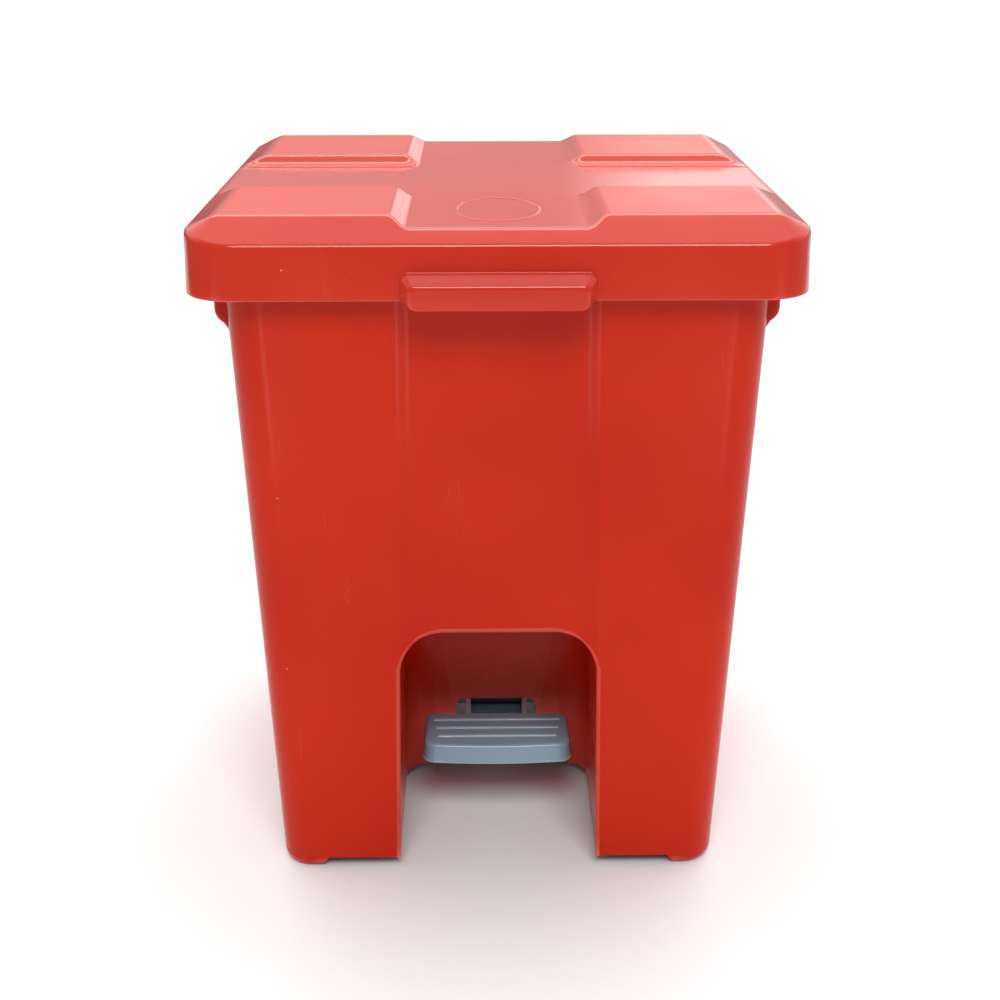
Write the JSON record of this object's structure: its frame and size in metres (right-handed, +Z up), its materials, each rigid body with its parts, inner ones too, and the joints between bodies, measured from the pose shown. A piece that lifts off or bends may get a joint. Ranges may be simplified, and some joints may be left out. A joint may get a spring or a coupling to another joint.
{
  "type": "step-on waste bin",
  "caption": "Square plastic waste bin on moulded feet with a hinged lid, an inner bucket and a foot pedal in a front recess that opens the lid through a wire push rod.",
  "frame": {"origin": "on the floor under the middle of the lid, which is within 2 mm of the middle of the whole bin", "axes": "+Z up, -Y towards the user (pedal and lip handle), +Y towards the hinge, +X to the right seen from the front"},
  "size_m": [0.32, 0.331, 0.3915],
  "materials": {
    "shell_red": "glossy moulded polypropylene",
    "lid_red": "glossy moulded polypropylene",
    "bucket_black": "satin moulded polypropylene",
    "pedal_grey": "glossy moulded plastic",
    "pin_steel": "bright zinc",
    "nut_steel": "spring steel",
    "rod_steel": "galvanised wire"
  },
  "bodies": {
    "body": {"outer_shell": "shell_red", "pedal_pivot_pin": "pin_steel", "pivot_nut_left": "nut_steel", "pivot_nut_right": "nut_steel", "hinge_pin_left": "pin_steel", "hinge_pin_right": "pin_steel", "hinge_nut_left": "nut_steel", "hinge_nut_right": "nut_steel"},
    "lid": {"lid": "lid_red"},
    "pedal": {"pedal": "pedal_grey"},
    "rod": {"lift_rod": "rod_steel", "rod_nut_upper": "nut_steel", "rod_nut_lower": "nut_steel"},
    "bucket": {"inner_bucket": "bucket_black"}
  },
  "joints": [
    {"name": "lid_hinge", "type": "hinge", "parent": "body", "child": "lid", "pos_m": [0, 0.16, 0.342], "axis": [-1, 0, 0], "range_deg": [0, 75]},
    {"name": "pedal_pivot", "type": "hinge", "parent": "body", "child": "pedal", "pos_m": [0, -0.005, 0.046], "axis": [1, 0, 0], "range_deg": [0, 18]},
    {"name": "rod_pivot", "type": "hinge", "parent": "lid", "child": "rod", "pos_m": [0, 0.128, 0.338], "axis": [1, 0, 0], "range_deg": [0, 70]},
    {"name": "bucket_lift", "type": "slide", "parent": "body", "child": "bucket", "axis": [0, 0, 1], "range_m": [0, 0.006]}
  ],
  "couplings": [
    {"joint": "pedal_pivot", "follows": "lid_hinge", "ratio": 0.2391},
    {"joint": "rod_pivot", "follows": "lid_hinge", "ratio": 0.92847}
  ]
}
